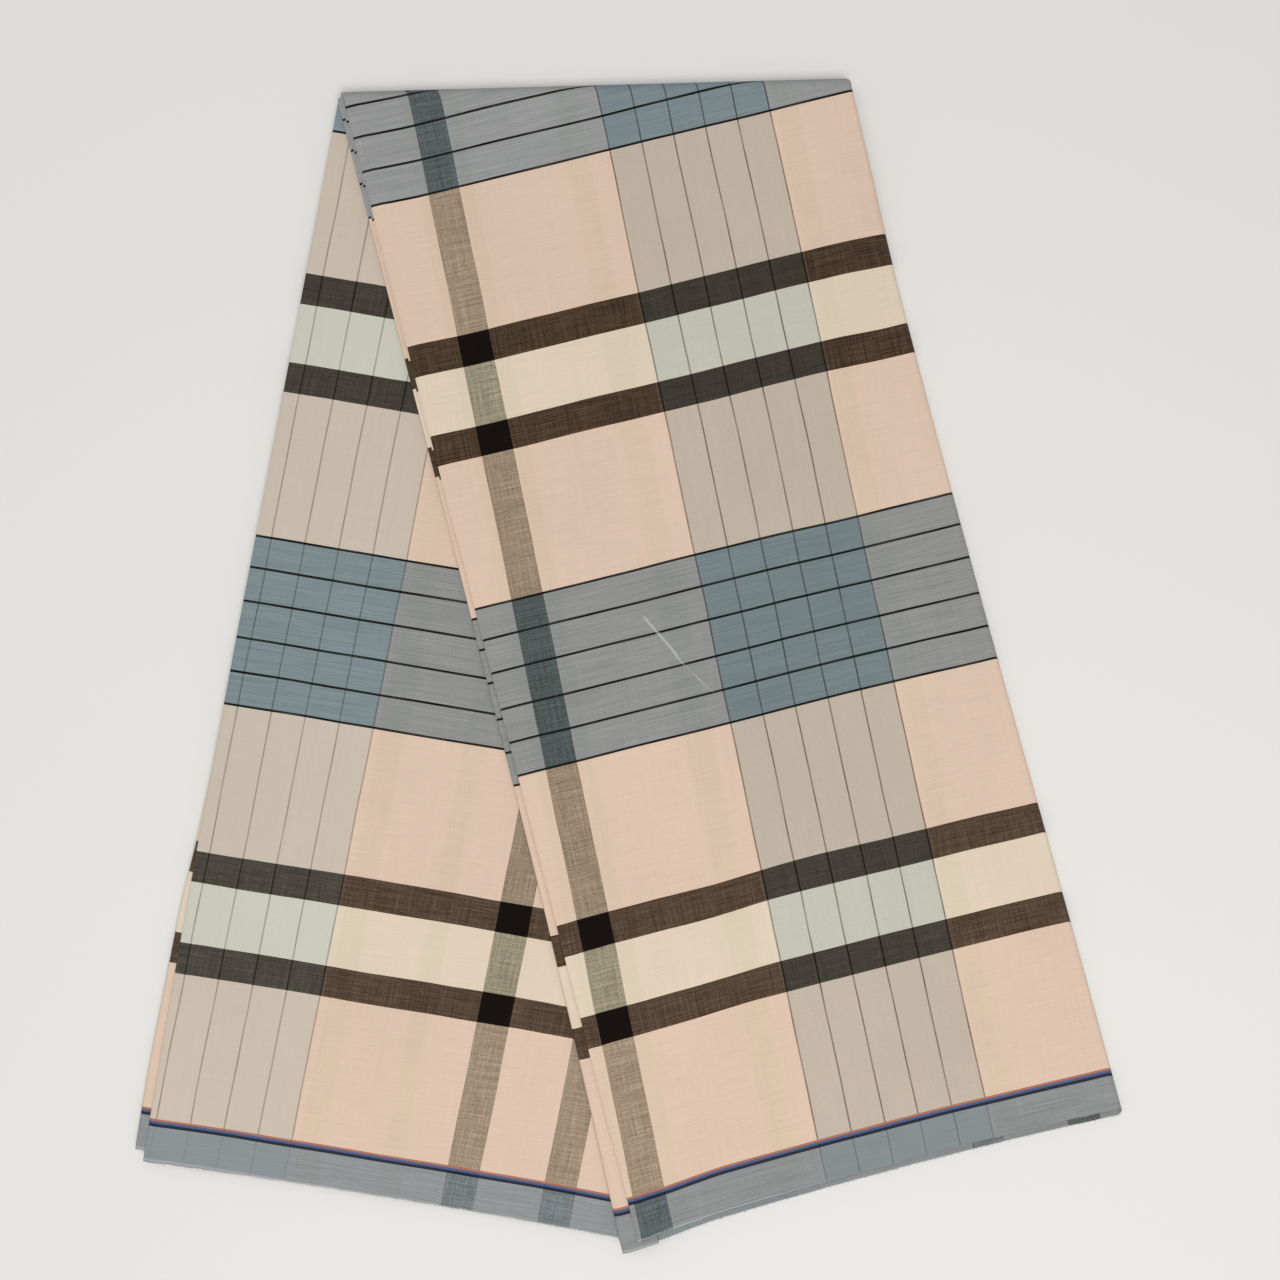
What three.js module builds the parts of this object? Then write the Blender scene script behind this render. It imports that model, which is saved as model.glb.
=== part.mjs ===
// A folded lungi: one woven cotton cloth, folded lengthwise into a strip of plies and doubled
// over at the top, so that the upper half lies across the lower half in a narrow inverted V.
// Millimetres, +Z up. It rests on z = 0, with the top fold towards +Y, and the origin lies
// under the middle of its outline.
import * as THREE from "three";

// Driving dimensions across the plies.
const PLY = 1; // wall of a ply that shows
const GAP = 0.3; // air between neighbouring pieces
const HIDDEN = 2.7; // the hidden plies of one strip, pressed together
const EDGE_INNER = 1.4; // folded edge ply nearer the top fold's axis
const STRIP = PLY + GAP + HIDDEN + GAP + PLY; // one whole strip
const AXIS_HEIGHT = STRIP + GAP / 2; // the top fold turns about a line at this height

// Distances from the axis of the top fold to the faces of each ply.
const RADII = {
  under: [GAP / 2, GAP / 2 + PLY],
  hidden: [GAP / 2 + PLY + GAP, GAP / 2 + PLY + GAP + HIDDEN],
  outer: [AXIS_HEIGHT - PLY, AXIS_HEIGHT],
};

// Outline corners as laid, seen from above. The fold's corners lie on its outermost line.
const FOLD_OUTLINE = { left: [-149.4, 301.6], right: [117.5, 308.8] };
const UPPER_HEM = { left: [5.3, -303.0], right: [261.2, -234.5] };
const LOWER_HEM = { left: [-256.4, -262.7], right: [-2.1, -303.6] };
const LOWER_SHIFT = 4.2; // the lower strip starts this far left of the upper one
const UPPER_RIGHT_BOW = 2.4; // the upper strip's right edge bends inwards
const LOWER_LEFT_BOW = 1.8; // the lower strip's left edge bends outwards
const UPPER_HEM_BOW = 2.9; // the middle of the hem sits nearer to the fold than its ends
const LOWER_HEM_BOW = 1.8;
const UNDER_PLY_LONGER = 5; // the upper strip's under ply shows past its hem
const NOSE = 0.4; // a ply's free edge is this round
const LOWER_EDGE_SHORTER = 5; // the lower strip's edge plies stop short of its hem
const HIDDEN_SHORTER = 2.5; // the hidden plies stop inside the hems

// The upper strip steps down to the surface beside the lower one.
const DROP = STRIP + GAP;
const DROP_START = 8; // distance from the lower strip's right edge
const DROP_RUN = 40;

// Two edge plies show past each strip's left edge, one nearer the top fold's axis (inner) and
// one outside it (outer). These columns are how far they reach past the edge, thick is the
// inner one's thickness, and along runs from the fold to the hem.
const EDGE_INSET = 10; // how far they reach in under the top ply
const OUTER_EDGE_END = 0.5; // the upper strip's outer edge ply ends here, as a share of its length
const UPPER_EDGE = [
  { along: 0, inner: 3.4, outer: 1.6, thick: EDGE_INNER },
  { along: 0.35, inner: 3.2, outer: 0.9, thick: EDGE_INNER },
  { along: 0.5, inner: 3.6, outer: -0.6, thick: EDGE_INNER },
  { along: 0.72, inner: 4.5, outer: -0.6, thick: 2.0 },
  { along: 0.9, inner: 7.4, outer: -0.6, thick: HIDDEN },
  { along: 1, inner: 9.6, outer: -0.6, thick: HIDDEN },
];
const LOWER_EDGE = [
  { along: 0, inner: -0.8, outer: -1.4, thick: EDGE_INNER },
  { along: 0.55, inner: -0.5, outer: -1.2, thick: EDGE_INNER },
  { along: 0.7, inner: 1.5, outer: 0.2, thick: EDGE_INNER },
  { along: 0.77, inner: 3.8, outer: 0.8, thick: EDGE_INNER },
  { along: 0.92, inner: 5.5, outer: 1.4, thick: EDGE_INNER },
  { along: 1, inner: 5.5, outer: 1.8, thick: EDGE_INNER },
];

// How finely the plies are cut into facets.
const UPPER_ROWS = 16;
const LOWER_ROWS = 10;
const FOLD_ROWS = 8;
const BESIDE_STATIONS = 3; // on each side of the step down
const STEP_STATIONS = 6; // across the step down
const LEAST_BESIDE = 0.1; // the share of the width that each side keeps
const LOWER_STATIONS = 4;
const EDGE_ARC_STEPS = 6;
const LOBE_STEPS = 3;

// Colours of the woven cloth where each piece shows.
const PEACH = 0xdabfaa;
const PALE_PEACH = 0xe2cbb8;
const BLUE_GREY = 0x8e9294;
const CREAM = 0xe0d2be;
const COTTON_ROUGHNESS = 0.85;

const lerp = THREE.MathUtils.lerp;
const smoothstep = THREE.MathUtils.smoothstep;
const plan = ([x, y]) => new THREE.Vector2(x, y);

// Even steps from a to b, without a and with b.
const steps = (count, a, b) => Array.from({ length: count }, (_, i) => lerp(a, b, (i + 1) / count));

// The top fold's axis lies inside its outermost line by the height it turns through.
const outlineLeft = plan(FOLD_OUTLINE.left);
const outlineRight = plan(FOLD_OUTLINE.right);
const foldAcross = outlineRight.clone().sub(outlineLeft).normalize();
const foldOutward = new THREE.Vector2(-foldAcross.y, foldAcross.x);
const axisLeft = outlineLeft.clone().addScaledVector(foldOutward, -AXIS_HEIGHT);
const axisRight = outlineRight.clone().addScaledVector(foldOutward, -AXIS_HEIGHT);
const lowerAxisLeft = axisLeft.clone().addScaledVector(foldAcross, -LOWER_SHIFT);

const upperHemLeft = plan(UPPER_HEM.left);
const upperHemRight = plan(UPPER_HEM.right);
const lowerHemLeft = plan(LOWER_HEM.left);
const lowerHemRight = plan(LOWER_HEM.right);
const UPPER_LENGTH = axisRight.distanceTo(upperHemRight);
const LOWER_LENGTH = axisLeft.distanceTo(lowerHemLeft);

// Unit vector square to the line from a to b, to its left.
function squareTo(a, b) {
  const along = b.clone().sub(a).normalize();
  return new THREE.Vector2(-along.y, along.x);
}

const rightOfLower = squareTo(axisRight, lowerHemRight);

// How far the upper strip has come down at a point of the plan.
function dropAt(point) {
  const beside = point.clone().sub(axisRight).dot(rightOfLower);
  return DROP * smoothstep(beside, DROP_START, DROP_START + DROP_RUN);
}

// One value of a short table at a share of the length, straight between its rows.
function readTable(table, column, along) {
  const next = Math.max(1, table.findIndex((row) => row.along >= along));
  const from = table[next - 1];
  const to = table[next];
  const share = (along - from.along) / (to.along - from.along);
  return lerp(from[column], to[column], share);
}

// A bow that is deepest at a third of the way, and nothing at both ends.
const earlyBow = (t) => 6.75 * t * (1 - t) ** 2;
const lateBow = (t) => earlyBow(1 - t);
const midBow = (s) => 4 * s * (1 - s);

// Each row gives the place of a point: s runs across the strip from its left edge to its right,
// aside moves it on by millimetres, radius is its distance from the fold's axis, and beyond
// moves it on along the strip.
function upperRow(t) {
  const left = axisLeft.clone().lerp(upperHemLeft, t);
  const inward = squareTo(upperHemRight, axisRight);
  const right = axisRight.clone().lerp(upperHemRight, t);
  right.addScaledVector(inward, UPPER_RIGHT_BOW * earlyBow(t));
  const across = right.clone().sub(left);
  const aim = across.clone().normalize();
  const down = new THREE.Vector2(aim.y, -aim.x);
  const place = (s, aside, radius, beyond = 0) => {
    const point = left.clone().addScaledVector(across, s).addScaledVector(aim, aside);
    point.addScaledVector(down, beyond - UPPER_HEM_BOW * midBow(s) * t ** 3);
    return new THREE.Vector3(point.x, point.y, AXIS_HEIGHT + radius - dropAt(point));
  };
  return { t, place };
}

function lowerRow(t) {
  const outward = squareTo(lowerHemLeft, axisLeft);
  const left = lowerAxisLeft.clone().lerp(lowerHemLeft, t);
  left.addScaledVector(outward, LOWER_LEFT_BOW * lateBow(t));
  const right = axisRight.clone().lerp(lowerHemRight, t);
  const across = right.clone().sub(left);
  const aim = across.clone().normalize();
  const down = new THREE.Vector2(aim.y, -aim.x);
  const place = (s, aside, radius, beyond = 0) => {
    const point = left.clone().addScaledVector(across, s).addScaledVector(aim, aside);
    point.addScaledVector(down, beyond - LOWER_HEM_BOW * midBow(s) * t ** 3);
    return new THREE.Vector3(point.x, point.y, AXIS_HEIGHT - radius);
  };
  return { t, place };
}

// A row of the top fold, turned by its share of half a circle.
function foldRow(turned) {
  const angle = Math.PI * turned;
  const left = axisLeft.clone().lerp(lowerAxisLeft, turned);
  const across = axisRight.clone().sub(left);
  const place = (s, aside, radius) => {
    const point = left.clone().addScaledVector(across, s).addScaledVector(foldAcross, aside);
    point.addScaledVector(foldOutward, radius * Math.sin(angle));
    return new THREE.Vector3(point.x, point.y, AXIS_HEIGHT + radius * Math.cos(angle));
  };
  return { t: 0, turned, place };
}

// Rows at even shares of the length and where the hidden plies stop, the same in every ply,
// between a first and a last one.
function rowsFrom(make, shares, first, last) {
  return [first, ...shares.filter((t) => t > first && t < last), last].map(make);
}
const upperStop = 1 - HIDDEN_SHORTER / UPPER_LENGTH;
const lowerStop = 1 - HIDDEN_SHORTER / LOWER_LENGTH;
const upperShares = [...steps(UPPER_ROWS, 0, 1).slice(0, -1), upperStop];
const lowerShares = [...steps(LOWER_ROWS, 0, 1).slice(0, -1), lowerStop];
const upperRows = (first = 0, last = 1) => rowsFrom(upperRow, upperShares, first, last);
const lowerRows = (first = 0, last = 1) => rowsFrom(lowerRow, lowerShares, first, last);
const foldRows = () => rowsFrom(foldRow, steps(FOLD_ROWS, 0, 1).slice(0, -1), 0, 1);

// Points of an arc in the section, about (centre, middle), from angle a to b, 0 pointing right.
function arc(s, centre, middle, size, a, b, steps) {
  return Array.from({ length: steps + 1 }, (_, i) => {
    const angle = lerp(a, b, i / steps);
    return { s, aside: centre + size * Math.cos(angle), radius: middle + size * Math.sin(angle) };
  });
}

// Where the facets of a row divide the upper strip: they follow its step down.
function upperStations(row) {
  const left = row.place(0, 0, 0);
  const right = row.place(1, 0, 0);
  const beside = (point) =>
    new THREE.Vector2(point.x, point.y).sub(axisRight).dot(rightOfLower);
  const shareAt = (distance) => (distance - beside(left)) / (beside(right) - beside(left));
  const clamp = THREE.MathUtils.clamp;
  const inset = EDGE_INSET / left.distanceTo(right);
  const from = clamp(shareAt(DROP_START), LEAST_BESIDE, 1 - 2 * LEAST_BESIDE);
  const to = clamp(shareAt(DROP_START + DROP_RUN), from + LEAST_BESIDE, 1 - LEAST_BESIDE);
  return [
    ...steps(BESIDE_STATIONS, inset, from),
    ...steps(STEP_STATIONS, from, to),
    ...steps(BESIDE_STATIONS, to, 1).slice(0, -1),
  ];
}
const plainStations = (count) => steps(count, 0, 1).slice(0, -1);

// Points across the strip at one radius, between the two edges. They lie at the same places
// in every ply, so that plies on each other bend alike.
const across = (radius, stations) => [
  { s: 0, aside: EDGE_INSET, radius },
  ...stations.map((s) => ({ s, aside: 0, radius })),
];

// A section is two chains of points that share their first and last one and have as many
// points each. The loop round it runs along the near chain and back along the far one.
const loopOf = ({ near, far }) => [...near, ...far.slice(1, -1).reverse()];
const HALF_TURN = Math.PI / 2;

// The ply that shows on both strips: it lies over the hidden plies, turns round their right
// edge in a clean fold and comes back under them.
function wrappingSection(stations) {
  const [innermost, underTop] = RADII.under;
  const [outerBottom, outermost] = RADII.outer;
  const size = STRIP / 2;
  const middle = (outermost + innermost) / 2;
  const nose = (radius) => ({ s: 0, aside: -NOSE, radius });
  const face = (high, low, turn) => [
    nose((outerBottom + outermost) / 2),
    { s: 0, aside: 0, radius: high },
    ...across(high, stations),
    ...arc(1, -size, middle, turn, HALF_TURN, -HALF_TURN, EDGE_ARC_STEPS),
    ...across(low, stations).reverse(),
    { s: 0, aside: 0, radius: low },
    nose((innermost + underTop) / 2),
  ];
  return { near: face(outermost, innermost, size), far: face(outerBottom, underTop, size - PLY) };
}

// The hidden plies as one rounded solid, with two round layers at each edge.
function hiddenSection(stations) {
  const [low, high] = RADII.hidden;
  const lobe = (high - low) / 4;
  const middle = (low + high) / 2;
  const left = EDGE_INSET + GAP + lobe;
  const right = -(STRIP / 2) - lobe / 2;
  const face = (radius, centre, up) => [
    ...arc(0, left, centre, lobe, -up * HALF_TURN, -3 * up * HALF_TURN, LOBE_STEPS),
    ...stations.map((s) => ({ s, aside: 0, radius })),
    ...arc(1, right, centre, lobe, up * HALF_TURN, -up * HALF_TURN, LOBE_STEPS),
  ];
  return { near: face(high, middle + lobe, 1), far: face(low, middle - lobe, -1) };
}

// A folded edge ply: a narrow strip with a round nose on its left.
function edgeSection(reach, low, high) {
  const size = (high - low) / 2;
  const middle = (low + high) / 2;
  const face = (radius, up) => [
    ...arc(0, size - reach, middle, size, -2 * up * HALF_TURN, -3 * up * HALF_TURN, LOBE_STEPS),
    { s: 0, aside: EDGE_INSET / 2, radius },
    { s: 0, aside: EDGE_INSET, radius },
    { s: 0, aside: EDGE_INSET, radius: middle },
  ];
  return { near: face(high, 1), far: face(low, -1) };
}

const acrossStrip = (p) => p.s * UPPER_LENGTH + p.aside;

// Triangles that close a section, from one chain straight over to the other.
function capFaces({ near, far }, count) {
  const last = near.length - 1;
  const farIndex = (i) => (i === 0 || i === last ? i : count - i);
  const quads = near.slice(1).map((_, i) => [i, i + 1, farIndex(i + 1), farIndex(i)]);
  const halves = quads.flatMap(([a, b, c, d]) => [[a, b, c], [a, c, d]]);
  return halves.filter((face) => new Set(face).size === 3);
}

// Volume inside a closed set of triangles, negative where they face inwards.
function signedVolume(points, faces) {
  const parts = faces.map(([a, b, c]) => points[a].dot(points[b].clone().cross(points[c])) / 6);
  return parts.reduce((sum, part) => sum + part, 0);
}

// A closed solid through the sections at each row. Four-sided facets are split along the same
// diagonal whichever way the section runs, so that plies on each other bend alike.
function sweep(rows, sectionAt) {
  const sections = rows.map(sectionAt);
  const loops = sections.map(loopOf);
  const count = loops[0].length;
  const points = rows.flatMap((row, i) =>
    loops[i].map((p) => row.place(p.s, p.aside, p.radius, p.beyond)),
  );
  const faces = [];
  for (let i = 0; i + 1 < rows.length; i += 1) {
    const upwards = rows[i + 1].t < rows[i].t;
    for (let k = 0; k < count; k += 1) {
      const next = (k + 1) % count;
      const [a, b] = [i * count + k, i * count + next];
      const [d, c] = [a + count, b + count];
      const leftwards = acrossStrip(loops[0][next]) < acrossStrip(loops[0][k]);
      if (leftwards !== upwards) faces.push([a, b, d], [b, c, d]);
      else faces.push([a, b, c], [a, c, d]);
    }
  }
  const last = (rows.length - 1) * count;
  const first = capFaces(sections[0], count).map(([a, b, c]) => [a, c, b]);
  const final = capFaces(sections.at(-1), count).map((face) => face.map((i) => last + i));
  faces.push(...first, ...final);
  const inwards = signedVolume(points, faces) < 0;
  const turned = inwards ? faces.map(([a, b, c]) => [a, c, b]) : faces;
  const geometry = new THREE.BufferGeometry().setFromPoints(points);
  geometry.setIndex(turned.flat());
  geometry.computeVertexNormals();
  return geometry;
}

// Lengthens the plies nearer the axis by the given amount, at the hem only.
function withStep({ near, far }, t, longer) {
  const depth = (radius) => 1 - (radius - RADII.under[0]) / STRIP;
  const step = (p) => ({ ...p, beyond: t === 1 ? longer * depth(p.radius) : 0 });
  return { near: near.map(step), far: far.map(step) };
}

const upperStart = GAP / UPPER_LENGTH;
const lowerStart = GAP / LOWER_LENGTH;

function upperOuterPly() {
  const sectionAt = (row) =>
    withStep(wrappingSection(upperStations(row)), row.t, UNDER_PLY_LONGER);
  return sweep(upperRows(upperStart), sectionAt);
}

function lowerOuterPly() {
  const section = wrappingSection(plainStations(LOWER_STATIONS));
  return sweep(lowerRows(lowerStart), () => section);
}

function foldOuterPly() {
  const section = wrappingSection(plainStations(1));
  return sweep(foldRows(), () => section);
}

// The hidden plies run from one hem over the top fold to the other.
function hiddenPlies() {
  const upper = upperRows(0, upperStop).reverse();
  const lower = lowerRows(0, lowerStop);
  const along = upperStations(upperRow(0));
  const sectionAt = (row) => hiddenSection(upper.includes(row) ? upperStations(row) : along);
  return sweep([...upper, ...foldRows().slice(1, -1), ...lower], sectionAt);
}

// The edge ply next to the axis, or the one outside it, at any row.
function edgeAt(row, table, column) {
  const reach =
    row.turned === undefined
      ? readTable(table, column, row.t)
      : lerp(UPPER_EDGE[0][column], LOWER_EDGE[0][column], row.turned);
  const [low, high] = RADII.hidden;
  const split = low + readTable(table, "thick", row.t);
  return column === "inner"
    ? edgeSection(reach, low, split)
    : edgeSection(reach, low + EDGE_INNER + GAP, high);
}

function upperEdgePly(column, last) {
  const rows = [...upperRows(0, last).reverse(), ...foldRows().slice(1)];
  return sweep(rows, (row) => edgeAt(row, UPPER_EDGE, column));
}

function lowerEdgePly(column) {
  const last = 1 - LOWER_EDGE_SHORTER / LOWER_LENGTH;
  return sweep(lowerRows(lowerStart, last), (row) => edgeAt(row, LOWER_EDGE, column));
}

const root = new THREE.Group();
root.name = "folded_lungi";

function addPiece(name, geometry, color) {
  const material = new THREE.MeshStandardMaterial({
    color,
    roughness: COTTON_ROUGHNESS,
    metalness: 0,
  });
  const mesh = new THREE.Mesh(geometry, material);
  mesh.name = name;
  root.add(mesh);
}

addPiece("upper_outer_ply", upperOuterPly(), PEACH);
addPiece("top_fold_ply", foldOuterPly(), BLUE_GREY);
addPiece("lower_outer_ply", lowerOuterPly(), PEACH);
addPiece("upper_edge_ply_inner", upperEdgePly("inner", 1), PALE_PEACH);
addPiece("upper_edge_ply_outer", upperEdgePly("outer", OUTER_EDGE_END), PALE_PEACH);
addPiece("lower_edge_ply_inner", lowerEdgePly("inner"), PALE_PEACH);
addPiece("lower_edge_ply_outer", lowerEdgePly("outer"), PALE_PEACH);
addPiece("hidden_plies", hiddenPlies(), CREAM);

export default root;
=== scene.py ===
"""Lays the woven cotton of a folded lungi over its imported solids.

The cloth is one length of checked cotton, folded lengthwise into a strip of plies and doubled over
at the top, so that the upper strip lies across the lower one. Each stretch of it that shows is a
thin shell on its solid's form. Its UV map holds the cloth's own coordinates in metres, u from cut
end to cut end and v from selvedge to selvedge, so that one check runs over every stretch.
"""

import logging
import math
import random
from dataclasses import dataclass
from enum import Enum
from functools import partial
from typing import Callable, Iterable, NamedTuple, Sequence, Union

import bmesh
import bpy
from mathutils import Matrix, Vector, noise


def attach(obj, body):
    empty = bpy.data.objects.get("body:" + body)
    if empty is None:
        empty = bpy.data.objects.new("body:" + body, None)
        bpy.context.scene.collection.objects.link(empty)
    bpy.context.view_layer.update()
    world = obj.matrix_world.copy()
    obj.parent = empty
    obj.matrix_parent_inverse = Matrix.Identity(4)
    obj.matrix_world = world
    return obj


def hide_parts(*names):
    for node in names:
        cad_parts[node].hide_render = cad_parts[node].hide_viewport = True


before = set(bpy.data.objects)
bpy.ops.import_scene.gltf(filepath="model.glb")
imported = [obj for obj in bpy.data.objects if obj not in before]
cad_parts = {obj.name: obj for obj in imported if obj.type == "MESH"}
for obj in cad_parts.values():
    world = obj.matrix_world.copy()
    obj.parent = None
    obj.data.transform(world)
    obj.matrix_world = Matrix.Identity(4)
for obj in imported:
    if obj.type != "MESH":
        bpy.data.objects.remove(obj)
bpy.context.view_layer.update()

log = logging.getLogger("folded_lungi")

MM = 0.001
BODY = "root"
UV_MAP = "cloth"

# Thicknesses through the strips, in millimetres, as in the solids.
PLY = 1.0
GAP = 0.3
HIDDEN = 2.7
STRIP = 2 * (PLY + GAP) + HIDDEN
AXIS_HEIGHT = STRIP + GAP / 2

# Distances from the top fold's axis, in millimetres.
INNERMOST = GAP / 2
OUTERMOST = AXIS_HEIGHT
HIDDEN_LOW = INNERMOST + PLY + GAP
HIDDEN_HIGH = HIDDEN_LOW + HIDDEN

# How much further a ply goes round a strip's right edge than straight to it and back.
WRAP = math.pi * STRIP / 2 - STRIP

SHELL = 0.5  # the cloth's thickness as drawn, a little more than the real 0.3, so that edges show
UNDER_REACH = 5.0  # how far the upper strip's under side shows past its hem

# Facets across a strip, on the side that shows in the view from above and on its other side.
SHOWN_COLUMNS = 64
OTHER_COLUMNS = 30

# The cloth from selvedge to selvedge, and the length after which its lengthwise stripes repeat.
CLOTH_WIDTH = 1200.0
STRIPE_REPEAT = 322.0
STRIP_WIDTH = 262.0  # of the folded strip

WEFT_SHARE = 0.32  # how much of the weft the eye sees where it crosses the warp


class Yarn(Enum):
    """Dyed cotton yarns of the check, as sRGB hex."""

    PEACH = "DAC0AB"
    CREAM = "DED1BA"
    BROWN = "0C0200"
    BLUE_GREY = "6A777E"
    PALE_BLUE_GREY = "76838C"
    BORDER_GREY = "707B81"
    PALE_BORDER_GREY = "82898D"
    OLIVE = "0E0B00"
    SAGE = "86928A"
    PALE_SAGE = "A3B0A9"
    NAVY = "141B30"
    BLUE = "465A84"
    RUST = "AA6C56"
    BLACK = "0C0B0A"


class Tint(Enum):
    """What the check's colours lean to in places, and a painted highlight's colour, as sRGB hex.
    """

    STRIPE_ON_BORDER = "8C9091"
    STRIPE_ON_CREAM = "C8D0C8"
    STRIPE_ON_BROWN = "7C7670"
    SHOWN_THROUGH = "FAFCF9"
    DARK_THREAD = "6B5A45"
    # Paler selvedge edge, and the painted highlight on the ridges of the sharpest creases.
    PALE_EDGE_AND_CREASE_HIGHLIGHT = "CFD0D2"


class Slot(Enum):
    """The record's material slots."""

    PEACH = "peach_cotton"
    BLUE_GREY = "blue_grey_cotton"
    EDGE = "edge_cotton"


class Band(NamedTuple):
    """A coloured band between two distances in millimetres, read across it.

    weft_share is how much of the weft the eye sees there, for a band of warp yarn.
    """

    start: float
    end: float
    yarn: Yarn
    weft_share: float = WEFT_SHARE

    def window(self, place: "Value") -> dict:
        """Returns a comparing node's links, which give 1 where a place is in the band."""
        return {0: place, 1: (self.start + self.end) / 2, 2: (self.end - self.start) / 2}


# Bands that run from cut end to cut end, by distance from the nearer selvedge.
BORDER = Band(-20, 19.4, Yarn.BORDER_GREY, 0.25)
WARP_BANDS = (
    BORDER,
    Band(103.5, 120, Yarn.BROWN),
    Band(120, 152.5, Yarn.CREAM, 0.37),
    Band(152.5, 169, Yarn.BROWN),
    Band(169, 248, Yarn.PEACH, 0.36),
    Band(248, 338, Yarn.BLUE_GREY),
    Band(338, 415, Yarn.PEACH, 0.35),
    Band(415, 431, Yarn.BROWN, 0.27),
    Band(431, 462.5, Yarn.CREAM, 0.36),
    Band(462.5, 479, Yarn.BROWN, 0.27),
    Band(555, 620, Yarn.PALE_BLUE_GREY),
)

# Stripes that run from selvedge to selvedge, by distance from the middle of a beige stripe.
WEFT_STRIPES = (
    Band(-1, 44.5, Yarn.SAGE),
    Band(127, 144, Yarn.OLIVE),
)

# Fine lines beside the grey border, where several dyed threads lie together.
BORDER_LINES = (
    Band(19.0, 20.7, Yarn.NAVY),
    Band(20.7, 22.1, Yarn.BLUE),
    Band(22.1, 23.3, Yarn.RUST),
)

# Black lines in the blue-grey bands, by distance from the nearer selvedge. The hand-set spacing
# isn't quite even.
BLACK_LINES = (248.2, 265.8, 283.8, 303.3, 321.2, 338.0, 555.2, 573.5, 591.7)
BLACK_LINE_WIDTH = 1.25

# Dark threads in the beige stripe: they stand this far apart, with one at each side of it, and
# lie within this distance from its middle.
STRIPE_LINE_SPACING = 17.8
STRIPE_LINE_WIDTH = 0.85
STRIPE_LINE_REACH = 46.0

# What the beige stripe's colour leans to over some warp yarns, and how far. Over the close-set
# border it hardly shows, over cream it looks green and over brown a little paler.
STRIPE_TINTS = (
    (Yarn.BORDER_GREY, Tint.STRIPE_ON_BORDER, 0.55),
    (Yarn.CREAM, Tint.STRIPE_ON_CREAM, 0.20),
    (Yarn.BROWN, Tint.STRIPE_ON_BROWN, 0.09),
)

# Where stripes of the ply beneath show faintly through the pale cloth, in cloth millimetres.
SHOWN_THROUGH = ((-151, -142), (-128, -117), (-71, -54), (45, 60), (217, 231), (259, 275))


class Crease(NamedTuple):
    """A straight trough or ridge, in millimetres."""

    start: tuple[float, float]
    end: tuple[float, float]
    width: float
    height: float


# Pressed creases, in cloth millimetres. The sharpest also get a painted highlight along their
# ridges.
PRESS_LINES = (
    Crease((-56, 20), (-56, 590), 1.6, 0.07),
    Crease((71, 40), (73, 380), 1.8, 0.04),
    Crease((-81, 319), (-61, 283), 1.8, 0.32),
    Crease((-69, 294), (-46, 260), 1.3, 0.22),
    Crease((-104, 250), (-91, 252), 1.3, 0.20),
    Crease((-150, 520), (-70, 524), 2.4, 0.09),
    Crease((-150, 505), (-88, 500), 2.6, 0.09),
    Crease((60, 214), (92, 196), 1.6, 0.11),
    Crease((52, 236), (88, 226), 1.4, 0.08),
    Crease((-120, 284), (-60, 292), 2.2, 0.08),
    Crease((240, 700), (236, 1190), 1.6, 0.05),
)


def linear(hex_colour: str) -> tuple[float, float, float, float]:
    """Turns an sRGB hex colour into the linear values that shaders take.

    Args:
        hex_colour: six hex digits.

    Returns:
        Red, green, blue and an alpha of 1.
    """
    parts = [int(hex_colour[i : i + 2], 16) / 255 for i in (0, 2, 4)]
    curved = [c / 12.92 if c <= 0.04045 else ((c + 0.055) / 1.055) ** 2.4 for c in parts]
    return (*curved, 1.0)


def lerp(a: float, b: float, share: float) -> float:
    """Returns the value at a share of the way from a to b."""
    return a + (b - a) * share


def smooth(value: float, low: float, high: float) -> float:
    """Returns an eased 0 to 1 as value goes from low to high."""
    share = min(1.0, max(0.0, (value - low) / (high - low)))
    return share * share * (3 - 2 * share)


def early_bow(along: float) -> float:
    """Returns a bow that is deepest a third of the way along, and nothing at both ends."""
    return 6.75 * along * (1 - along) ** 2


def late_bow(along: float) -> float:
    """Returns a bow that is deepest two thirds of the way along, and nothing at both ends."""
    return early_bow(1 - along)


def mid_bow(across: float) -> float:
    """Returns a bow that is deepest halfway across, and nothing at both ends."""
    return 4 * across * (1 - across)


def crease_lift(crease: Crease, point: Vector) -> float:
    """Returns how far a soft crease lifts the cloth at a point of the plan.

    Args:
        crease: the crease.
        point: a place in the plan.

    Returns:
        The height, in millimetres.
    """
    start, end = Vector(crease.start), Vector(crease.end)
    run = end - start
    share = (point - start).dot(run) / run.length_squared
    if not 0 < share < 1:
        return 0.0
    away = (point - start - run * share).length / crease.width
    return crease.height * mid_bow(share) ** 0.5 * math.exp(-away * away)


# Soft creases as laid, seen from above.
TOP_CREASES = (
    Crease((-80, 240), (-10, 262), 9, 0.45),
    Crease((-112, 214), (-62, 226), 7, 0.35),
    Crease((-70, 170), (30, 150), 12, -0.35),
    Crease((10, 290), (52, 110), 8, 0.30),
    Crease((-30, 60), (60, 20), 10, 0.35),
    Crease((20, 10), (80, -80), 9, -0.30),
    Crease((90, 150), (190, -30), 14, 0.45),
    Crease((40, -120), (170, -95), 13, 0.40),
    Crease((25, -180), (120, -215), 10, -0.30),
    Crease((30, -262), (140, -238), 8, 0.35),
    Crease((150, -120), (228, -190), 10, -0.30),
    Crease((-14, -60), (16, -200), 6, 0.45),
)
LOWER_CREASES = (
    Crease((-166, 200), (-120, 120), 9, 0.35),
    Crease((-190, 60), (-120, 20), 10, 0.40),
    Crease((-212, -20), (-110, -66), 12, -0.30),
    Crease((-225, -110), (-100, -140), 12, 0.40),
    Crease((-236, -190), (-80, -215), 11, 0.35),
    Crease((-120, -160), (-60, -255), 8, -0.25),
)
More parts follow.
